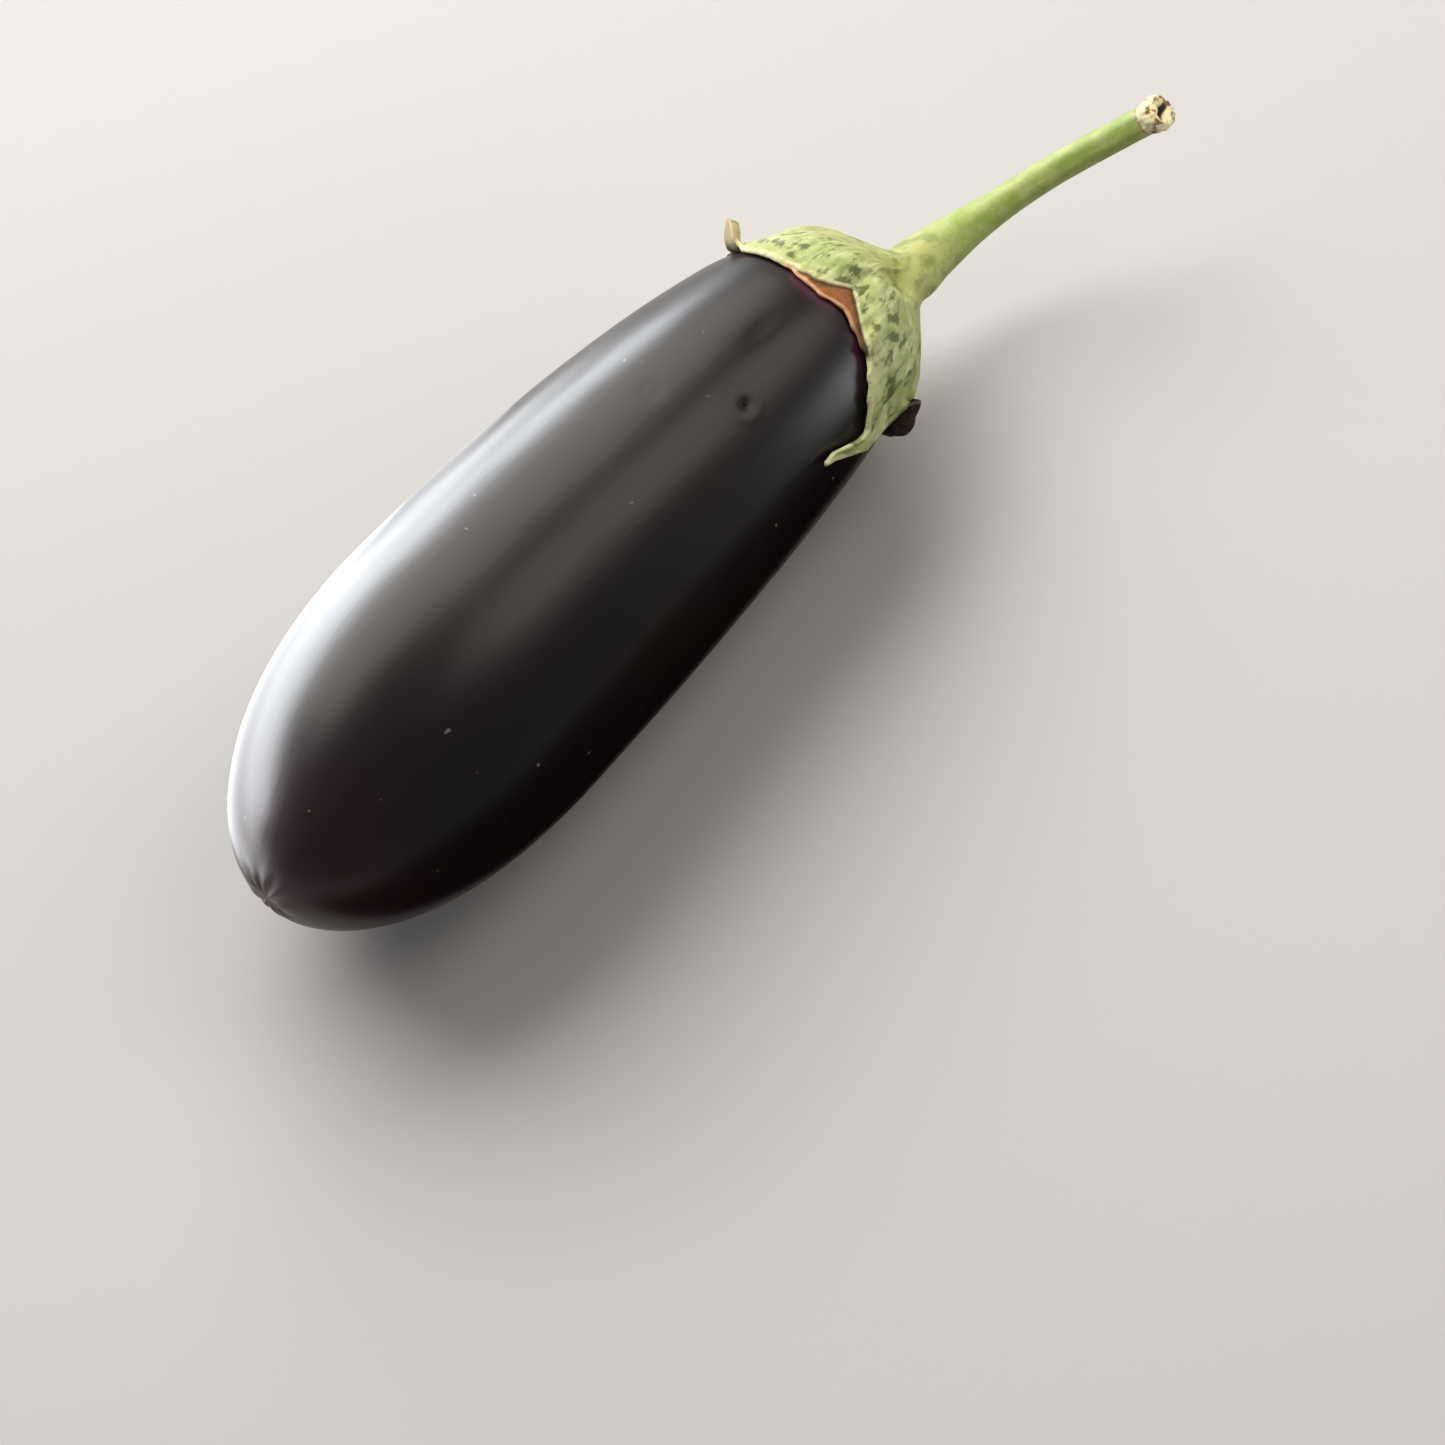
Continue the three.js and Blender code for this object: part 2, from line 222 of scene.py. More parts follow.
swell += PIT_RIM_HEIGHT * hump(from_pit - PIT_RIM, PIT_RIM_WIDTH)
swell -= SCAR_DEPTH * hump(along, SCAR_RADIUS)
sway = PUCKER_SWAY * np.sin(np.radians(2 * angle))
puckers = np.cos(np.radians(PUCKER_COUNT * angle) + sway)
puckers = PUCKER_DEPTH * puckers * hump(along - SCAR_RADIUS, PUCKER_REACH / 2)
swell += puckers * ease(along / SCAR_RADIUS)

slope = np.gradient(profile, from_blossom, axis=0)
slope /= np.linalg.norm(slope, axis=1)[:, None]
ahead = np.interp(along, from_blossom, slope[:, 0])
climb = np.interp(along, from_blossom, slope[:, 1])
turn = np.radians(angle)
outwards = np.stack([-climb, ahead * np.sin(turn), ahead * np.cos(turn)], axis=-1)
bowed = round_axis + np.outer(bow(round_axis[:, 0]), (0, 1, 0))

# What the finish follows: the place on the skin, and the ways to the blossom end and the pit.
skin_place = np.stack([along, SKIN_WRAP * np.cos(turn), SKIN_WRAP * np.sin(turn)], axis=-1)
keep(berry, "skin_place", skin_place)
keep(berry, "from_blossom", along)
keep(berry, "from_pit", from_pit)
keep(berry, "position", bowed + outwards * swell[:, None])

# It is tipped until its weight is over the flat spot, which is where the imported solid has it.
low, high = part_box("fruit")
tipped = bowed @ np.array(Matrix.Rotation(math.radians(LIE_TILT), 3, "Y")).T
lie = Matrix.Translation(
    (
        low.x - tipped[:, 0].min(),
        (low.y + high.y - tipped[:, 1].min() - tipped[:, 1].max()) / 2,
        high.z - tipped[:, 2].max(),
    )
) @ Matrix.Rotation(math.radians(LIE_TILT), 4, "Y")
berry.data.transform(lie)
bpy.ops.object.mode_set(mode="EDIT")
bpy.ops.mesh.select_all(action="SELECT")
bpy.ops.mesh.bisect(plane_co=(0, 0, 0), plane_no=(0, 0, 1), clear_inner=True, use_fill=True)
bpy.ops.object.mode_set(mode="OBJECT")
bpy.ops.object.shade_smooth_by_angle(angle=math.radians(SMOOTH_ANGLE))


class Socket:
    """An output of a shader node. Sums and products of outputs and numbers add Math nodes."""

    def __init__(self, output):
        self.output = output

    def node(self, kind, settings, inputs, result=0):
        """Adds a node: its settings are set first, and its inputs are then linked or set."""
        added = self.output.id_data.nodes.new(kind)
        for name, value in settings.items():
            setattr(added, name, value)
        fill(added, inputs)
        return Socket(added.outputs[result])

    def math(self, operation, *values):
        return self.node("ShaderNodeMath", {"operation": operation}, dict(enumerate(values)))

    def __add__(self, other):
        return self.math("ADD", self, other)

    def __sub__(self, other):
        return self.math("SUBTRACT", self, other)

    def __rsub__(self, other):
        return self.math("SUBTRACT", other, self)

    def __mul__(self, other):
        return self.math("MULTIPLY", self, other)

    __radd__ = __add__
    __rmul__ = __mul__

    def climb(self, low, high):
        """0 up to low, 1 from high on, and a smooth climb between. It falls if high is less."""
        return self.node(
            "ShaderNodeMapRange",
            {"interpolation_type": "SMOOTHSTEP"},
            {"Value": self, "From Min": low, "From Max": high},
        )

    def blend(self, low, high):
        """The colour low where this is 0, and high where it is 1."""
        colours = {0: self, 6: low, 7: high}
        return self.node("ShaderNodeMix", {"data_type": "RGBA"}, colours, result=2)

    def stretched(self, x, y, z):
        """This vector with its parts multiplied."""
        parts = {0: self, 1: (x, y, z)}
        return self.node("ShaderNodeVectorMath", {"operation": "MULTIPLY"}, parts)

    def grain(self, scale, detail=2, roughness=0.5):
        """Soft noise over this vector."""
        inputs = {"Vector": self, "Scale": scale, "Detail": detail, "Roughness": roughness}
        return self.node("ShaderNodeTexNoise", {}, inputs)

    def bump(self, distance):
        """The normal of a surface that this raises by up to a distance."""
        return self.node("ShaderNodeBump", {}, {"Height": self, "Distance": distance})


def fill(node, inputs):
    """Links a node's inputs, or sets them to plain values."""
    for name, value in inputs.items():
        if isinstance(value, Socket):
            node.id_data.links.new(value.output, node.inputs[name])
        else:
            node.inputs[name].default_value = value


def start_finish(name):
    """A new material, its shader, and the place on the piece as a first output."""
    material = bpy.data.materials.new(name)
    material.use_nodes = True
    nodes = material.node_tree.nodes
    place = Socket(nodes.new("ShaderNodeTexCoord").outputs["Object"])
    return material, nodes["Principled BSDF"], place


def attribute(place, name, result="Fac"):
    """A number or vector kept on the piece's vertices."""
    return place.node("ShaderNodeAttribute", {"attribute_name": name}, {}, result)


INK_PURPLE = (0.0058, 0.0034, 0.0040, 1)
WARM_BLACK = (0.0080, 0.0050, 0.0042, 1)
WINE = (0.0340, 0.0050, 0.0090, 1)
SHADED_PINK = (0.0700, 0.0190, 0.0380, 1)
SCAR_BROWN = (0.150, 0.075, 0.040, 1)
PIT_BLACK = (0.003, 0.002, 0.002, 1)
SPECK_PALE = (0.35, 0.30, 0.28, 1)

skin, shader, place = start_finish("waxy_skin")
on_skin = attribute(place, "skin_place", "Vector")
blossom = attribute(place, "from_blossom")
pit = attribute(place, "from_pit")
shaded = attribute(place, "calyx_shade")
cloud = on_skin.stretched(0.5, 1, 1).grain(60)
streak = on_skin.stretched(0.08, 1, 1).grain(900, 3)
haze = on_skin.stretched(0.35, 1, 1).grain(110, 3)
pores = on_skin.grain(1500, 1)
speck = on_skin.grain(560, 0).climb(0.872, 0.890)
body = cloud.climb(0.35, 0.7).blend(INK_PURPLE, WARM_BLACK)
body = (blossom.climb(0.046, 0.006) * (0.55 + 0.45 * cloud)).blend(body, WINE)
body = (shaded * cloud.climb(0.35, 0.65)).blend(body, SHADED_PINK)
scar = (blossom + 0.0016 * on_skin.grain(700, 2)).climb(0.0044, 0.0030)
body = scar.blend(body, SCAR_BROWN)
pit_floor = pit.climb(0.0010, 0.0004)
body = pit_floor.blend(body, PIT_BLACK)
body = (speck * 0.28).blend(body, SPECK_PALE)
fill(
    shader,
    {
        "Base Color": body,
        "Roughness": 0.25 + 0.10 * haze + 0.05 * streak + 0.35 * scar + 0.6 * pit_floor,
        "Normal": (0.5 * pores + 0.8 * streak + 3.0 * haze).bump(0.00002),
        "IOR": 1.42,
    },
)
berry.data.materials.clear()
berry.data.materials.append(skin)
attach(berry, "root")
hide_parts("fruit")


# ---------------------------------------------------------------------------------------------
# The calyx and stem: a thick green cap that clasps the fruit, thins to five leathery lobes
# with dry tips, and runs on into the stem up to its cut. They are one growth, made from one
# sphere, whose rings are drawn over the skin, round the rim, back out and up the stem.

SKIN_GAP = 0.00035
CAP_REACH = 0.013
CAP_THICKNESS = 0.0077
CAP_FALL = 0.008
CAP_LEAN = 0.10
CAP_LEANS_TO = -165
LOBE_THICKNESS = 0.0014
BLADE_THICKNESS = 0.0010
BLADE_TAPER = 0.007
BLADE_LIFT = 0.0009
LIFT_ONSET = 0.003
LIFT_LENGTH = 0.008
CLEFT_GROOVE = 0.12
CLEFT_WIDTH = 7
GROOVE_START = 0.019
GROOVE_LENGTH = 0.005
PINCH = 0.58
PINCH_ANGLE = 50
PINCH_WIDTH = 17
PINCH_START = 0.0172
PINCH_LENGTH = 0.004
CURL_ROOT = 0.004
HOLD_OFF = 0.0003
HOLD_ANGLE = -100
HOLD_WIDTH = 26
HOLD_START = 0.018
HOLD_LENGTH = 0.006
TAIL_REACH = 0.042
TAIL_LENGTH = 0.013
TAIL_SWING = 12
WEB_REACH = 0.0297
WEB_THICKNESS = 0.0005
WEB_STEP = 0.0007
# How far the dry web under the clefts reaches at these angles.
WEB_ANGLES = (-95, -60, -51, -25, -9, 3, 45, 75, 110, 200)
WEB_EDGE = (0.0297, 0.0340, 0.0343, 0.0298, 0.0315, 0.0302, 0.0290, 0.0258, 0.0275, 0.0297)
# Dark marks in the green: each from one reach and angle to another, and its half width. A
# degree round the calyx is about this long where they are.
TURN_LENGTH = 0.00042
DARK_MARKS = (
    (0.0256, 33.0, 0.0265, 19.1, 0.0009),
    (0.0276, 14.5, 0.0274, 10.7, 0.0007),
    (0.0246, 17.1, 0.0241, 11.0, 0.0006),
    (0.0217, -12.7, 0.0209, -18.3, 0.0009),
    (0.0253, -17.4, 0.0238, -21.9, 0.0012),
    (0.0276, -39.0, 0.0278, -42.8, 0.0007),
    (0.0236, -42.8, 0.0224, -50.3, 0.0012),
    (0.0260, -50.5, 0.0252, -54.0, 0.0010),
    (0.0286, -54.9, 0.0300, -61.2, 0.0012),
    (0.0316, -66.0, 0.0323, -69.8, 0.0010),
)
# The fold beside the longest tip runs through these angles and reaches.
FOLD_ANGLES = (-92, -84, -72, -66, -58)
FOLD_REACHES = (0.0352, 0.0345, 0.0340, 0.0325, 0.0315)
FOLD_WIDTH = 0.0008
FOLD_DEPTH = 0.0006
FOLD_FROM = -89
FOLD_FROM_BLUR = 4
FOLD_TO = -57
FOLD_TO_BLUR = 8
RAGGED_BLADE = 0.00022
RAGGED_WEB = 0.00028
RAGGED_BLADE_WAVES = range(9, 60, 6)
RAGGED_WEB_WAVES = range(7, 50, 5)
ROLL_THICKNESS = 0.0012
ROLL_WIDTH = 7
ROLL_LENGTH = 0.003
TONGUE_POWER = 2.6

# A lobe runs between two clefts, whose angles are its start and end. A side climbs from the
# reach of its cleft by a round shoulder and then a point, and a narrow tongue may stand on the
# tip.
Side = namedtuple("Side", "cleft shoulder roundness point sharpness")
Lobe = namedtuple("Lobe", "start tip end tongue tongue_width near far")
LOBES = [
    Lobe(
        start=-21, tip=47.5, end=101, tongue=0.0048, tongue_width=4.2,
        near=Side(0.0235, 0.0061, 7, 0.0004, 3),
        far=Side(0.0256, 0.0008, 3, 0.0036, 8),
    ),
    Lobe(
        start=101, tip=130, end=158, tongue=0, tongue_width=5,
        near=Side(0.026, 0.006, 2, 0.008, 2.4),
        far=Side(0.026, 0.006, 2, 0.008, 2.4),
    ),
    Lobe(
        start=158, tip=187, end=212, tongue=0, tongue_width=5,
        near=Side(0.026, 0.007, 2, 0.007, 2.6),
        far=Side(0.026, 0.007, 2, 0.007, 2.6),
    ),
    Lobe(
        start=212, tip=259, end=276, tongue=0, tongue_width=5,
        near=Side(0.026, 0.003, 2, 0.0108, 4),
        far=Side(0.033, 0.004, 2.4, 0.004, 2),
    ),
    Lobe(
        start=276, tip=281.5, end=339, tongue=0.0115, tongue_width=2.8,
        near=Side(0.033, 0.0070, 6, 0.0042, 1),
        far=Side(0.0235, 0.0005, 12, 0.0202, 1),
    ),
]

# Where the blade curls up off the skin: between two angles, each with its own blur, from a
# reach on, by its radius and turn.
Curl = namedtuple("Curl", "low low_blur high high_blur share reach radius turn")
CURLS = [
    Curl(41, 3, 54, 4, 1, 0.0283, 0.0018, 106),
    Curl(122, 10, 138, 10, 0.3, 0.0285, 0.0023, 115),
    Curl(236, 12, 275, 3, 1, 0.0280, 0.0020, 235),
]


def skin_at(reach, angle):
    """The skin at a reach from the stem end: its points, the way on towards the blossom end,
    and the way out."""
    spot = np.clip(half_outline - reach, 0, half_outline)
    x, r = (np.interp(spot, from_blossom, profile[:, i]) for i in (0, 1))
    ahead, climb = (np.interp(spot, from_blossom, slope[:, i]) for i in (0, 1))
    turn = np.radians(angle)

    def turned(along, out):
        return np.stack([along, out * np.sin(turn), out * np.cos(turn)], axis=-1)

    point = turned(x, r)
    point[..., 1] += bow(x)
    return point, turned(-ahead, -climb), turned(-climb, ahead)


def ragged(angle, waves, seed):
    """An uneven edge round the axis, between about -1 and 1."""
    starts = np.random.default_rng(seed).uniform(0, 2 * math.pi, len(waves))
    swings = [np.sin(wave * np.radians(angle) + start) for wave, start in zip(waves, starts)]
    return sum(swings) / math.sqrt(len(waves))


def blade_reach(angle):
    """How far the green blade reaches."""
    turned = LOBES[0].start + (angle - LOBES[0].start) % 360
    reach = np.zeros_like(turned)
    for lobe in LOBES:
        from_tip = np.abs((turned - lobe.tip) / lobe.tongue_width)
        tongue = lobe.tongue * np.exp(-(from_tip**TONGUE_POWER))
        for side, cleft in ((lobe.near, lobe.start), (lobe.far, lobe.end)):
            climb = np.clip((turned - cleft) / (lobe.tip - cleft), 0, 1)
            shoulder = side.shoulder * (1 - (1 - climb) ** side.roundness)
            here = side.cleft + shoulder + side.point * climb**side.sharpness + tongue
            low, high = sorted((cleft, lobe.tip))
            reach = np.where((turned >= low) & (turned <= high), here, reach)
    return reach + RAGGED_BLADE * ragged(angle, RAGGED_BLADE_WAVES, seed=11)


def web_reach(angle):
    """How far the dry web under the clefts reaches."""
    edge = np.interp(angle, WEB_ANGLES, WEB_EDGE, period=360)
    return edge + RAGGED_WEB * ragged(angle, RAGGED_WEB_WAVES, seed=12)


def fold_at(reach, angle):
    """How deep in the fold beside the longest tip a place lies, from 0 to 1."""
    beside = turn_between(angle, 0)
    across = hump(reach - np.interp(beside, FOLD_ANGLES, FOLD_REACHES), FOLD_WIDTH)
    begun = ease((beside - FOLD_FROM) / FOLD_FROM_BLUR)
    return across * begun * ease((FOLD_TO - beside) / FOLD_TO_BLUR)


# A hair of each curl is everywhere, so that their shares can always be divided by their sum.
LEAST_SHARE = 1e-9


def curl_at(angle):
    """How much the blade curls, from 0 to 1, and the reach, radius and turn of its curl."""
    turned = angle % 360
    shares = [
        curl.share
        * ease((turned - curl.low) / curl.low_blur + 1)
        * ease((curl.high - turned) / curl.high_blur + 1)
        + LEAST_SHARE
        for curl in CURLS
    ]
    total = sum(shares)
    reach, radius, curled = (
        sum(share * getattr(curl, measure) for share, curl in zip(shares, CURLS)) / total
        for measure in ("reach", "radius", "turn")
    )
    return np.minimum(total, 1), reach, radius, np.radians(curled)


def underside_at(reach, angle):
    """The calyx's underside, and the way out of it."""
    blade = blade_reach(angle)
    free = ease((blade - WEB_REACH) / LIFT_ONSET)
    lift = BLADE_LIFT * free * ease((reach - blade + LIFT_LENGTH) / LIFT_LENGTH)
    held = hump(turn_between(angle, HOLD_ANGLE), HOLD_WIDTH)
    lift = lift + HOLD_OFF * held * ease((reach - HOLD_START) / HOLD_LENGTH)
    gap = (SKIN_GAP + lift)[..., None]
    swing = TAIL_SWING * ease((reach - TAIL_REACH) / TAIL_LENGTH)
    hugging, _, hugging_out = skin_at(reach, angle + swing)
    hugging = hugging + gap * hugging_out
    share, start, radius, turned = curl_at(angle)
    root, onwards, out = skin_at(start, angle)
    bend = np.clip((reach - start) / radius, 0, turned)
    straight = np.maximum(reach - start - bend * radius, 0)
    ahead = radius * np.sin(bend) + straight * np.cos(bend)
    up = radius * (1 - np.cos(bend)) + straight * np.sin(bend)
    curled = root + ahead[..., None] * onwards + (gap + up[..., None]) * out
    curled_out = np.cos(bend)[..., None] * out - np.sin(bend)[..., None] * onwards
    share = np.where(reach > start, share, 0)[..., None]
    outwards = hugging_out + share * (curled_out - hugging_out)
    outwards /= np.linalg.norm(outwards, axis=-1, keepdims=True)
    return hugging + share * (curled - hugging), outwards


def thickness_at(reach, angle):
    """The calyx's thickness."""
    blade = blade_reach(angle)
    share, start, _, _ = curl_at(angle)
    edge = blade + share * (np.minimum(blade, start + CURL_ROOT) - blade)
    fall = np.exp(-(reach - CAP_REACH) / CAP_FALL)
    lean = 1 + CAP_LEAN * np.cos(np.radians(angle - CAP_LEANS_TO))
    cap = LOBE_THICKNESS + (CAP_THICKNESS * lean - LOBE_THICKNESS) * fall
    valley = np.max([hump(turn_between(angle, lobe.start), CLEFT_WIDTH) for lobe in LOBES], axis=0)
    grooved = cap * (1 - CLEFT_GROOVE * valley * ease((reach - GROOVE_START) / GROOVE_LENGTH))
    pinched = hump(turn_between(angle, PINCH_ANGLE), PINCH_WIDTH)
    grooved = grooved * (1 - PINCH * pinched * ease((reach - PINCH_START) / PINCH_LENGTH))
    grooved = grooved - FOLD_DEPTH * fold_at(reach, angle)
    lobe = BLADE_THICKNESS + (grooved - BLADE_THICKNESS) * ease((edge - reach) / BLADE_TAPER)
    roll = ROLL_THICKNESS * hump(turn_between(angle, LOBES[0].tip), ROLL_WIDTH)
    lobe = lobe + roll * ease((reach - WEB_REACH) / ROLL_LENGTH)
    return WEB_THICKNESS + (lobe - WEB_THICKNESS) * ease((blade + WEB_STEP - reach) / WEB_STEP)


def calyx_point(reach, angle, depth):
    """A point in the calyx: depth 0 is its underside and 1 its outer side."""
    point, outwards = underside_at(reach, angle)
    return point + (depth * thickness_at(reach, angle))[..., None] * outwards


# The stem leaves the cap along a curve, tapers, and swells to a knob at the slanting cut.
STEM_ROUTE = np.array(
    [
        (0.182, -0.0016, -0.0010),
        (0.191, -0.0041, -0.0017),
        (0.2095, -0.0078, -0.0006),
        (0.226, -0.0145, 0.0052),
        (0.2462, -0.0281, 0.0175),
    ]
)
STEM_RADIUS = 0.00315
STEM_BASE_SWELL = 0.0028
STEM_BASE_SPAN = 0.25
BUTTRESS = 0.0018
BUTTRESS_ANGLE = -72
BUTTRESS_WIDTH = 48
BUTTRESS_SPAN = 0.07
STEM_START = 0.125
STEM_RIBS = 5
STEM_RIB_HEIGHT = 0.00010
FLARE_REACH = 0.018
FLARE_STEP = 0.0005
FLARE_STALK = 0.35
CAP_HANDLE = 0.0115
STEM_HANDLE = 0.003
LOW_CAP_HANDLE = 0.0060
LOW_ANGLE = 14
LOW_WIDTH = 32
FAN_ANGLE = -38
FAN_WIDTH = 26
FAN_CAP_HANDLE = 0.006
FAN_STEM_HANDLE = 0.009
KNOB_START = 0.93
KNOB_SWELL = 0.00070
KNOB_SPAN = 0.05
KNOB_EDGE = 0.00055
KNOB_EDGE_SPAN = 0.03
CUT_SLANT = 0.5
CUT_SLANT_START = 0.81
CUT_FACES = -30
PITH_SHARE = 0.6
PITH_BLUR = 0.3
PITH_DEPTH = 0.0006
SLIT_TURN = 120
SLIT_WIDTH = 0.0007
SLIT_SHARE = 0.82
SLIT_BLUR = 0.15
SLIT_DEPTH = 0.0016
FACE_LEVEL = 0.3
ROUTE_STEPS = 60


def stem_centre_line():
    """The stem's centre line as closely spaced points: a smooth curve through the route."""
    ends = 2 * STEM_ROUTE[[0, -1]] - STEM_ROUTE[[1, -2]]
    knots = np.vstack([ends[0], STEM_ROUTE, ends[1]])
    spans = np.linalg.norm(np.diff(knots, axis=0), axis=1)[:, None] ** 0.5
    steps = np.diff(knots, axis=0) / spans
    chords = (knots[2:] - knots[:-2]) / (spans[1:] + spans[:-1])
    pulls = steps[:-1] - chords + steps[1:]
    line = [STEM_ROUTE[:1]]
    for i in range(len(STEM_ROUTE) - 1):
        first, last = STEM_ROUTE[i], STEM_ROUTE[i + 1]
        leave, arrive = pulls[i] * spans[i + 1], pulls[i + 1] * spans[i + 1]
        t = np.arange(1, ROUTE_STEPS + 1)[:, None] / ROUTE_STEPS
        curve = 2 * (first - last) + leave + arrive
        line.append(first + leave * t + (last - first - leave - curve) * t**2 + curve * t**3)
    return np.vstack(line)


stem_line = stem_centre_line()
stem_lengths = np.append(0, np.cumsum(np.linalg.norm(np.diff(stem_line, axis=0), axis=1)))
stem_ways = np.gradient(stem_line, stem_lengths, axis=0)
stem_length = stem_lengths[-1]


def stem_frame(along):
    """A point of the stem's centre line, the way ahead, up and to the side."""
    spot = along * stem_length
    point = np.array([np.interp(spot, stem_lengths, stem_line[:, i]) for i in range(3)])
    ahead = np.array([np.interp(spot, stem_lengths, stem_ways[:, i]) for i in range(3)])
    ahead /= np.linalg.norm(ahead)
    upwards = np.array((0, 0, 1)) - ahead[2] * ahead
    upwards /= np.linalg.norm(upwards)
    return point, ahead, upwards, np.cross(upwards, ahead)


def stem_radius(along, angle):
    """The stem's radius at a fraction of its route."""
    base = STEM_BASE_SWELL * hump(along - STEM_START, STEM_BASE_SPAN)
    knob = KNOB_SWELL * ease((along - KNOB_START) / KNOB_SPAN)
    edge = KNOB_EDGE * max(0, 1 - (1 - along) / KNOB_EDGE_SPAN) ** 2
    ribs = STEM_RIB_HEIGHT * np.cos(STEM_RIBS * np.radians(angle))
    buttress = BUTTRESS * hump(turn_between(angle, BUTTRESS_ANGLE), BUTTRESS_WIDTH)
    buttress = buttress * hump(along - STEM_START, BUTTRESS_SPAN)
    return STEM_RADIUS + base + buttress + knob - edge + ribs


def stem_point(along, angle, spread=1, depth=0):
    """A point of the stem: spread 1 is its surface. The rings lean more and more towards the
    cut, so that the last one lies in its plane."""
    point, ahead, upwards, sideways = stem_frame(along)
    radius = stem_radius(along, angle) * spread
    turn = np.radians(angle)
    lean = CUT_SLANT * ease((along - CUT_SLANT_START) / (1 - CUT_SLANT_START))
    slide = -lean * radius * np.cos(turn - math.radians(CUT_FACES)) - depth
    out = np.outer(radius * np.cos(turn), upwards) + np.outer(radius * np.sin(turn), sideways)
    return point + out + np.outer(slide, ahead)


def flare_point(fraction, angle):
    """The flare that joins the cap to the stem, at a fraction of the way up."""
    foot = calyx_point(np.full_like(angle, FLARE_REACH), angle, 1)
    below = calyx_point(np.full_like(angle, FLARE_REACH + FLARE_STEP), angle, 1)
    leaving = foot - below
    leaving /= np.linalg.norm(leaving, axis=-1, keepdims=True)
    top = stem_point(STEM_START, angle)
    _, arriving, _, _ = stem_frame(STEM_START)
    fan = hump(turn_between(angle, FAN_ANGLE), FAN_WIDTH)[:, None]
    low = hump(turn_between(angle, LOW_ANGLE), LOW_WIDTH)[:, None] * (1 - fan)
    handle = CAP_HANDLE + (FAN_CAP_HANDLE - CAP_HANDLE) * fan
    handle = handle + (LOW_CAP_HANDLE - CAP_HANDLE) * low
    hand = foot + handle * leaving
    hold = top - (STEM_HANDLE + (FAN_STEM_HANDLE - STEM_HANDLE) * fan) * arriving
    rest = 1 - fraction
    curve = rest**3 * foot + 3 * rest**2 * fraction * hand
    return curve + 3 * rest * fraction**2 * hold + fraction**3 * top


BAND_REACH = 0.0245
CALYX_COLUMNS = 384
INNER_ROWS = 8
UNDER_ROWS = 18
ROUND_ROWS = 3
BAND_ROWS = 44
OUTER_ROWS = 24
FLARE_ROWS = 30
STEM_ROWS = 46
KNOB_ROWS = 14
FACE_ROWS = 14
# How fast the stem's green comes in above the flare, and its cut colour past the knob's start.
GREENER_RATE = 3
CUT_RATE = 3

columns = 360 * np.arange(CALYX_COLUMNS) / CALYX_COLUMNS
blade = blade_reach(columns)
rim = np.maximum(blade, web_reach(columns))
rim_thickness = thickness_at(rim, columns)
ring_points = []
ring_facts = []


def add_ring(points, along, outer=1, stalk=0, cut=0, face=0):
    """Adds one ring of points, with how far along the growth it is and what it belongs to."""
    ring_points.append(points)
    facts = (along, blade - np.minimum(along, rim), outer, stalk, cut, face)
    ring_facts.append(np.stack([np.broadcast_to(fact, columns.shape) for fact in facts], axis=-1))


def add_calyx_ring(reach, depth):
    reach = np.broadcast_to(reach, columns.shape)
    add_ring(calyx_point(reach, columns, depth), reach, outer=depth)


for i in range(INNER_ROWS):
    add_calyx_ring(BAND_REACH * i / INNER_ROWS, 0)
for i in range(UNDER_ROWS + 1):
    add_calyx_ring(BAND_REACH + (rim - BAND_REACH) * i / UNDER_ROWS, 0)
for i in range(1, ROUND_ROWS + 1):
    swing = math.pi * i / (ROUND_ROWS + 1)
    add_calyx_ring(rim + rim_thickness / 2 * math.sin(swing), (1 - math.cos(swing)) / 2)
for i in range(BAND_ROWS):
    add_calyx_ring(rim + (BAND_REACH - rim) * i / BAND_ROWS, 1)
for i in range(OUTER_ROWS):
    add_calyx_ring(BAND_REACH + (FLARE_REACH - BAND_REACH) * i / OUTER_ROWS, 1)
for i in range(FLARE_ROWS):
    climb = i / FLARE_ROWS
    ring = flare_point(climb, columns)
    add_ring(ring, FLARE_REACH * (1 - climb), stalk=FLARE_STALK * ease(climb))
for i in range(STEM_ROWS):
    climb = i / STEM_ROWS
    here = STEM_START + (KNOB_START - STEM_START) * climb
    greener = FLARE_STALK + (1 - FLARE_STALK) * ease(climb * GREENER_RATE)
    add_ring(stem_point(here, columns), (STEM_START - here) * stem_length, stalk=greener)
for i in range(KNOB_ROWS + 1):
    here = KNOB_START + (1 - KNOB_START) * i / KNOB_ROWS
    ring = stem_point(here, columns)
    add_ring(ring, (STEM_START - here) * stem_length, stalk=1, cut=ease(i / KNOB_ROWS * CUT_RATE))
for i in range(1, FACE_ROWS + 1):
    spread = 1 - i / FACE_ROWS
    hollow = PITH_DEPTH * ease((PITH_SHARE - spread) / PITH_BLUR)
    aside = spread * STEM_RADIUS * np.sin(np.radians(columns - SLIT_TURN))
    onward = spread * np.cos(np.radians(columns - SLIT_TURN))
    slit = hump(aside, SLIT_WIDTH) * ease((SLIT_SHARE - np.abs(onward)) / SLIT_BLUR)
    ring = stem_point(1, columns, spread, hollow + SLIT_DEPTH * slit)
    face = FACE_LEVEL + (1 - FACE_LEVEL) * slit
    add_ring(ring, (STEM_START - 1) * stem_length, stalk=1, cut=1, face=face)

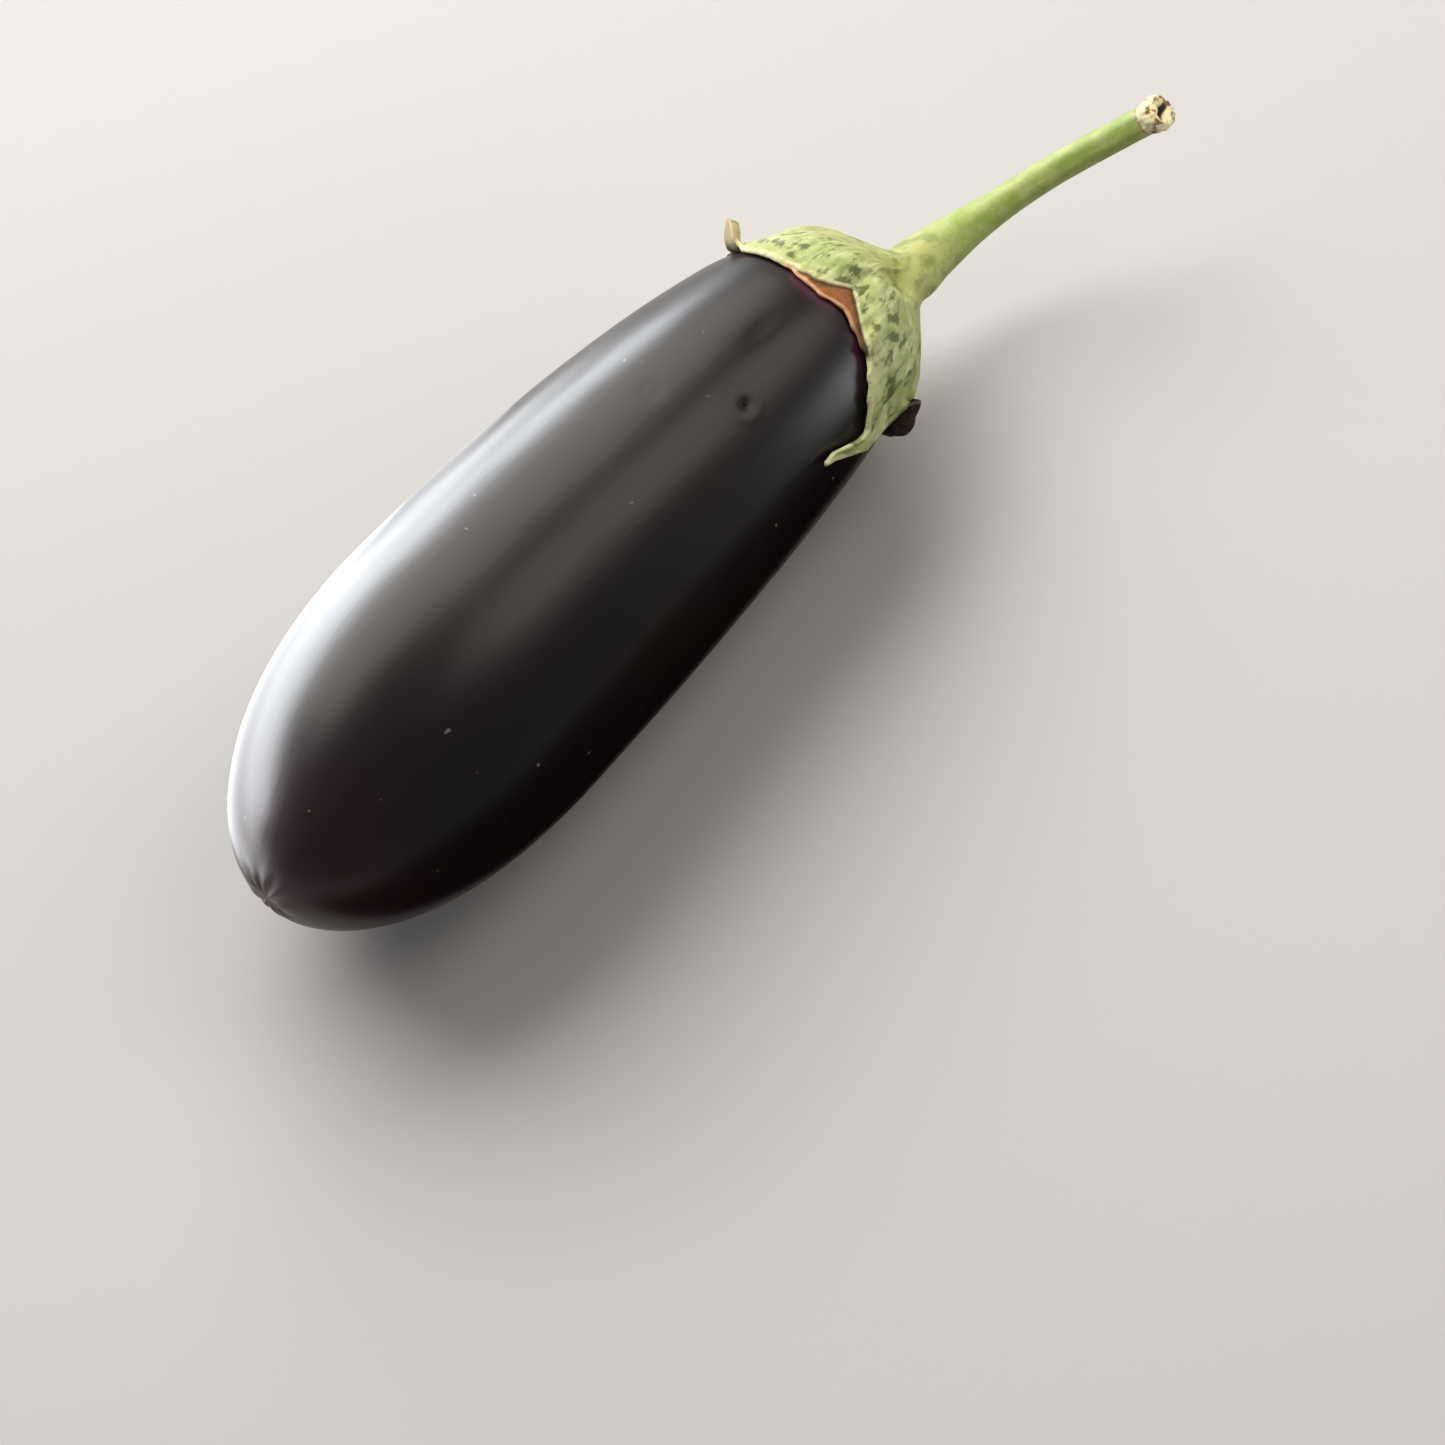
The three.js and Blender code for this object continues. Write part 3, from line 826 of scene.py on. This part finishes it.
bpy.ops.object.select_all(action="DESELECT")
bpy.ops.mesh.primitive_uv_sphere_add(segments=CALYX_COLUMNS, ring_count=len(ring_points) - 1)
calyx = bpy.context.object
calyx.name = "calyx_with_stem"
on_sphere = kept(calyx, "position")
heights = np.clip(on_sphere[:, 2], -1, 1)
rows = np.rint(np.arccos(-heights) / math.pi * (len(ring_points) - 1)).astype(int)
turns = np.arctan2(on_sphere[:, 1], on_sphere[:, 0]) / (2 * math.pi)
at_pole = (rows == 0) | (rows == len(ring_points) - 1)
places = np.where(at_pole, 0, np.rint(turns * CALYX_COLUMNS).astype(int) % CALYX_COLUMNS)
corner = np.array(ring_points)[rows, places]
facts = np.array(ring_facts)[rows, places]
keep(calyx, "position", corner)
bpy.ops.object.mode_set(mode="EDIT")
bpy.ops.mesh.select_all(action="SELECT")
bpy.ops.mesh.normals_make_consistent(inside=False)
bpy.ops.object.mode_set(mode="OBJECT")

# Growth leaves it uneven: long low wrinkles on the cap and lobes, faint ones on the stem,
# crumpled dry tips, and chips round the cut.
GRAIN_WRAP = 0.014
LUMP_HEIGHT = 0.00034
LUMP_LENGTH = 0.0042
WRINKLE_HEIGHT = 0.00026
WRINKLE_LENGTH = 0.0016
WRINKLE_STRETCH = (0.22, 1.8, 1.8)
CRUMPLE_HEIGHT = 0.00060
CRUMPLE_LENGTH = 0.0016
CHIP_HEIGHT = 0.00030
CHIP_LENGTH = 0.0011
STEM_CALM = 0.92
STEM_CALM_RATE = 2.6
DryTip = namedtuple("DryTip", "angle width reach share")
DRY_TIPS = [
    DryTip(48, 13, 0.0275, 1.0),
    DryTip(130, 10, 0.036, 0.8),
    DryTip(187, 10, 0.035, 0.8),
    DryTip(259, 17, 0.0310, 1.0),
    DryTip(281, 8, 0.051, 0.7),
]
DRY_BLUR = 0.004
# The withered tip is dark from this reach on, and from a little further on its outer side.
CHAR_ANGLE = 259
CHAR_WIDTH = 32
CHAR_REACH = 0.0275
CHAR_OUTER_DELAY = 0.0040
CHAR_BLUR = 0.0025
CHAR_END = 277
CHAR_END_BLUR = 2
RIM_LINE = 0.0008
RIM_LINE_BLUR = 0.0007
WEB_SHADE_ANGLE = -31
WEB_SHADE_BLUR = 12
FLOOR_CLEARANCE = 0.0002

along, from_rim, outer, stalk, cut, face = facts.T
turn = np.radians(360 * places / CALYX_COLUMNS)
grain_place = np.stack([along, GRAIN_WRAP * np.cos(turn), GRAIN_WRAP * np.sin(turn)], axis=-1)
turned_to = np.degrees(turn)
dried = np.zeros(len(along))
for tip in DRY_TIPS:
    tipward = hump(turn_between(turned_to, tip.angle), tip.width)
    tipward *= ease((along - tip.reach) / DRY_BLUR)
    dried = np.maximum(dried, tip.share * tipward)
charred = hump(turn_between(turned_to, CHAR_ANGLE), CHAR_WIDTH)
charred *= ease((along - CHAR_REACH - CHAR_OUTER_DELAY * outer) / CHAR_BLUR)
charred *= ease((CHAR_END - turned_to % 360) / CHAR_END_BLUR)
normals = np.empty(len(calyx.data.vertices) * 3)
calyx.data.vertices.foreach_get("normal", normals)
normals = normals.reshape(-1, 3)
leafy = outer * (1 - STEM_CALM * ease(stalk * STEM_CALM_RATE))
relief = LUMP_HEIGHT * wander(grain_place, LUMP_LENGTH, seed=21) * leafy
wrinkles = wander(grain_place * WRINKLE_STRETCH, WRINKLE_LENGTH, seed=22)
relief += WRINKLE_HEIGHT * wrinkles * leafy
crumples = wander(corner, CRUMPLE_LENGTH, seed=23)
relief += CRUMPLE_HEIGHT * crumples * np.maximum(dried, charred) * outer
relief += CHIP_HEIGHT * wander(corner, CHIP_LENGTH, seed=24) * cut
keep(calyx, "position", corner + normals * relief[:, None])
keep(calyx, "grain_place", grain_place)
keep(calyx, "from_rim", from_rim)
keep(calyx, "stalk", stalk)
keep(calyx, "cut", cut)
keep(calyx, "slit", face)
keep(calyx, "dried", dried)
keep(calyx, "charred", charred)
rim_here = np.maximum(blade_reach(turned_to), web_reach(turned_to))
keep(calyx, "web_edge", ease((along - rim_here + RIM_LINE) / RIM_LINE_BLUR))
mark = np.zeros(len(along))
for near_reach, near_angle, far_reach, far_angle, half_width in DARK_MARKS:
    across = np.stack([along - near_reach, TURN_LENGTH * turn_between(turned_to, near_angle)])
    span = np.array([far_reach - near_reach, TURN_LENGTH * (far_angle - near_angle)])
    share = np.clip(span @ across / (span @ span), 0, 1)
    mark = np.maximum(mark, hump(np.hypot(*(across - np.outer(span, share))), half_width))
keep(calyx, "mark", np.maximum(mark * outer, fold_at(along, turned_to) * outer))
web_shade = ease((WEB_SHADE_ANGLE - turn_between(turned_to, 0)) / WEB_SHADE_BLUR)
keep(calyx, "web_shade", web_shade)
calyx.data.transform(lie)
rested = kept(calyx, "position")
rested[:, 2] = np.maximum(rested[:, 2], FLOOR_CLEARANCE)
keep(calyx, "position", rested)
bpy.ops.object.shade_smooth()

# The skin is paler and pinker just past the calyx, where it was kept from the sun. Where the
# blade curls up, that starts at the foot of the curl.
SHADE_REACH = 0.0035
skin_place = kept(berry, "skin_place")
on_berry = np.degrees(np.arctan2(skin_place[:, 2], skin_place[:, 1]))
lying = blade_reach(on_berry)
share, curl_start, _, _ = curl_at(on_berry)
lying -= share * np.maximum(lying - curl_start, 0)
edge = np.maximum(lying, web_reach(on_berry))
past_edge = half_outline - skin_place[:, 0] - edge
keep(berry, "calyx_shade", ease(1 - past_edge / SHADE_REACH))

CALYX_GREEN = (0.235, 0.308, 0.082, 1)
CALYX_LIGHT = (0.450, 0.490, 0.225, 1)
CALYX_WARM = (0.350, 0.345, 0.090, 1)
CALYX_FLECK = (0.055, 0.072, 0.008, 1)
RUST_FLECK = (0.230, 0.120, 0.030, 1)
STEM_GREEN = (0.235, 0.315, 0.060, 1)
STEM_LIGHT = (0.350, 0.400, 0.125, 1)
WEB_DARK = (0.060, 0.027, 0.007, 1)
WEB_BROWN = (0.250, 0.090, 0.020, 1)
WEB_RIM = (0.520, 0.290, 0.140, 1)
DRY_TAN = (0.420, 0.310, 0.130, 1)
DRY_CREAM = (0.660, 0.610, 0.350, 1)
CHARRED = (0.030, 0.013, 0.009, 1)
CHARRED_LIGHT = (0.150, 0.075, 0.050, 1)
CUT_CREAM = (0.680, 0.620, 0.360, 1)
CUT_BROWN = (0.200, 0.105, 0.030, 1)
# The slit in the cut face is painted dark: painted shade in the crack.
SLIT_PAINTED_SHADE = (0.035, 0.022, 0.008, 1)

leather, shader, place = start_finish("calyx_leather")
growth = attribute(place, "grain_place", "Vector")
inside_edge = attribute(place, "from_rim")
stalk = attribute(place, "stalk")
cut = attribute(place, "cut")
slit = attribute(place, "slit")
dried = attribute(place, "dried")
charred = attribute(place, "charred")
patch = growth.grain(95, 2)
cloud = growth.stretched(0.5, 1, 1).grain(260, 4, 0.6)
fibre = growth.stretched(0.12, 1, 1).grain(1000, 3, 0.6)
strand = growth.stretched(0.14, 2, 2).grain(700, 2)
fleck = growth.stretched(0.42, 1.4, 1.4).grain(560, 3, 0.6)
mottle = place.grain(230, 4, 0.6)
crumb = place.grain(1500, 4, 0.6)
leafy = stalk.climb(0.30, 0.0)
mark = attribute(place, "mark")
flecked = patch.climb(0.36, 0.52) + mark
flecked = flecked.climb(0, 0.8) * (fleck + 0.17 * mark).climb(0.52, 0.68) * leafy
body = (0.7 * mottle + 0.3 * cloud).climb(0.36, 0.62).blend(CALYX_GREEN, CALYX_LIGHT)
body = (patch.climb(0.56, 0.40) * 0.4).blend(body, CALYX_WARM)
stem_colour = mottle.climb(0.35, 0.7).blend(STEM_GREEN, STEM_LIGHT)
body = stalk.climb(0.10, 0.85).blend(body, stem_colour)
collar = stalk.climb(0.02, 0.15) * stalk.climb(0.75, 0.38)
body = (collar * (0.10 + mottle.climb(0.35, 0.65) * 0.5)).blend(body, CALYX_WARM)
body = (collar * mottle.climb(0.56, 0.36) * 0.35).blend(body, CALYX_FLECK)
body = (strand.climb(0.50, 0.66) * leafy * 0.4).blend(body, CALYX_LIGHT)
body = (flecked * 0.85).blend(body, CALYX_FLECK)
body = (crumb.climb(0.64, 0.70) * (0.6 - 0.4 * stalk)).blend(body, RUST_FLECK)
body = (inside_edge.climb(0.0010, 0.0003) * fibre.climb(0.30, 0.60) * 0.7).blend(body, DRY_CREAM)
web = inside_edge.climb(-0.0001, -0.0006)
web_colour = (inside_edge + 0.002 * cloud).climb(0.0008, -0.0014).blend(WEB_DARK, WEB_BROWN)
web_colour = (crumb.climb(0.45, 0.65) * 0.35).blend(web_colour, WEB_DARK)
web_colour = (attribute(place, "web_edge") * 0.9).blend(web_colour, WEB_RIM)
web_colour = attribute(place, "web_shade").blend(web_colour, WEB_DARK)
body = web.blend(body, web_colour)
dry = (dried + 0.4 * cloud).climb(0.50, 0.95)
dry_colour = fibre.climb(0.42, 0.62).blend(DRY_TAN, DRY_CREAM)
body = dry.blend(body, dry_colour)
char_colour = crumb.climb(0.50, 0.68).blend(CHARRED, CHARRED_LIGHT)
body = charred.climb(0.15, 0.55).blend(body, char_colour)
gouge = place.grain(420, 3, 0.6)
cut_colour = gouge.climb(0.61, 0.51).blend(CUT_BROWN, CUT_CREAM)
cut_colour = (cut * (1 - cut) * 3).blend(cut_colour, CUT_BROWN)
body = cut.climb(0.1, 0.5).blend(body, cut_colour)
# Painted shade: the slit in the cut is darkened along its groove.
body = slit.climb(0.42, 0.62).blend(body, SLIT_PAINTED_SHADE)
fill(
    shader,
    {
        "Base Color": body,
        "Roughness": 0.50 + 0.2 * fibre + 0.1 * dry,
        "Normal": ((0.5 * strand + 0.4 * fibre + 0.4 * crumb) * leafy + 0.1 * crumb).bump(0.0003),
        "IOR": 1.42,
    },
)
calyx.data.materials.clear()
calyx.data.materials.append(leather)
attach(calyx, "root")
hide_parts("calyx_and_stem")


# ---------------------------------------------------------------------------------------------
# The studio: a wide pale floor, soft lights overhead and a long one low on the far side, cards
# and a dark flag that only the glossy skin shows, and a pale surround. The camera looks down on
# the fruit from its blossom end.

FLOOR_SIZE = 14
FLOOR_PALE = (0.47, 0.465, 0.455, 1)
SURROUND = (0.90, 0.92, 1.0, 1)
SURROUND_STRENGTH = 0.20

bpy.ops.object.select_all(action="DESELECT")
bpy.ops.mesh.primitive_plane_add(size=FLOOR_SIZE)
floor = bpy.context.object
floor.name = "studio_floor"
paper, shader, _ = start_finish("studio_paper")
fill(shader, {"Base Color": FLOOR_PALE, "Roughness": 0.85, "Specular IOR Level": 0})
floor.data.materials.append(paper)

# The flag of black cloth lies on the near side of the fruit, which it keeps dark.
FLAG_PLACE = (-0.040, -0.190, 0.0006)
FLAG_SPREAD = (0.34, 0.32, 1)
FLAG_DARK = (0.004, 0.004, 0.004, 1)
bpy.ops.mesh.primitive_plane_add(size=1, location=FLAG_PLACE)
flag = bpy.context.object
flag.name = "studio_flag"
flag.scale = FLAG_SPREAD
cloth, shader, _ = start_finish("flag_cloth")
fill(shader, {"Base Color": FLAG_DARK, "Roughness": 1.0, "Specular IOR Level": 0})
flag.data.materials.append(cloth)
flag.visible_camera = flag.visible_diffuse = flag.visible_shadow = False

world = bpy.data.worlds.new("studio")
bpy.context.scene.world = world
world.use_nodes = True
fill(world.node_tree.nodes["Background"], {"Color": SURROUND, "Strength": SURROUND_STRENGTH})
bpy.context.scene.view_settings.view_transform = "Standard"

FRUIT_MIDDLE = Vector((-0.03, 0, 0.03))
COOL_WHITE = (0.92, 0.96, 1.0)
WARM_WHITE = (1.0, 0.91, 0.81)


def softbox(name, middle, width, height, power, colour):
    """A soft light that faces the fruit."""
    bpy.ops.object.light_add(type="AREA", location=middle)
    lamp = bpy.context.object
    lamp.name = name
    lamp.rotation_euler = (Vector(middle) - FRUIT_MIDDLE).to_track_quat("Z", "Y").to_euler()
    lamp.data.shape = "RECTANGLE"
    lamp.data.size = width
    lamp.data.size_y = height
    lamp.data.energy = power
    lamp.data.color = colour
    lamp.visible_camera = False
    return lamp


# The lights on the skin are told apart by their reflections: a key and a fill that it doesn't
# mirror, and a strip and cards that only it shows.
softbox("high_softbox", (0.20, 0.62, 0.64), 1.2, 0.72, 10.6, WARM_WHITE)
softbox("side_softbox", (0.555, -0.251, 0.861), 0.50, 0.83, 3.3, WARM_WHITE)
key = softbox("key_softbox", (0.25, 1.10, 1.30), 1.6, 1.20, 27, COOL_WHITE)
fill_in = softbox("fill_softbox", (0.45, -1.00, 0.40), 1.2, 0.60, 3, WARM_WHITE)
for light in (key, fill_in):
    light.visible_glossy = False
strip = softbox("strip_softbox", (-0.10, 0.72, 0.145), 1.4, 0.28, 20, COOL_WHITE)
low_cards = [
    softbox("short_near_card", (-0.155, 0.093, 0.0015), 0.25, 0.114, 0.23, COOL_WHITE),
    softbox("long_near_card", (-0.1375, 0.093, 0.0010), 0.285, 0.114, 0.16, COOL_WHITE),
    softbox("far_card", (-0.21, 0.45, 0.0020), 0.58, 0.60, 13, COOL_WHITE),
]
for card in low_cards:
    card.rotation_euler = (math.pi, 0, 0)
shoulder_card = softbox("shoulder_card", (0.148, -0.125, 0.040), 0.06, 0.075, 0.075, COOL_WHITE)
for light in (strip, shoulder_card, *low_cards):
    light.visible_diffuse = False

CAMERA_PLACE = (-0.258888, -0.242908, 0.620799)
CAMERA_RIGHT = (0.63231, -0.77426, -0.02650)
CAMERA_UP = (0.70052, 0.55681, 0.44636)
CAMERA_BACK = (-0.33084, -0.30080, 0.89446)

bpy.ops.object.camera_add(location=CAMERA_PLACE)
camera = bpy.context.object
camera.name = "camera"
camera.data.lens = 85
camera.data.sensor_width = 36
camera.data.clip_start = 0.01
aim = Matrix((CAMERA_RIGHT, CAMERA_UP, CAMERA_BACK)).transposed()
camera.rotation_euler = aim.to_euler()
bpy.context.scene.camera = camera

bpy.context.view_layer.update()
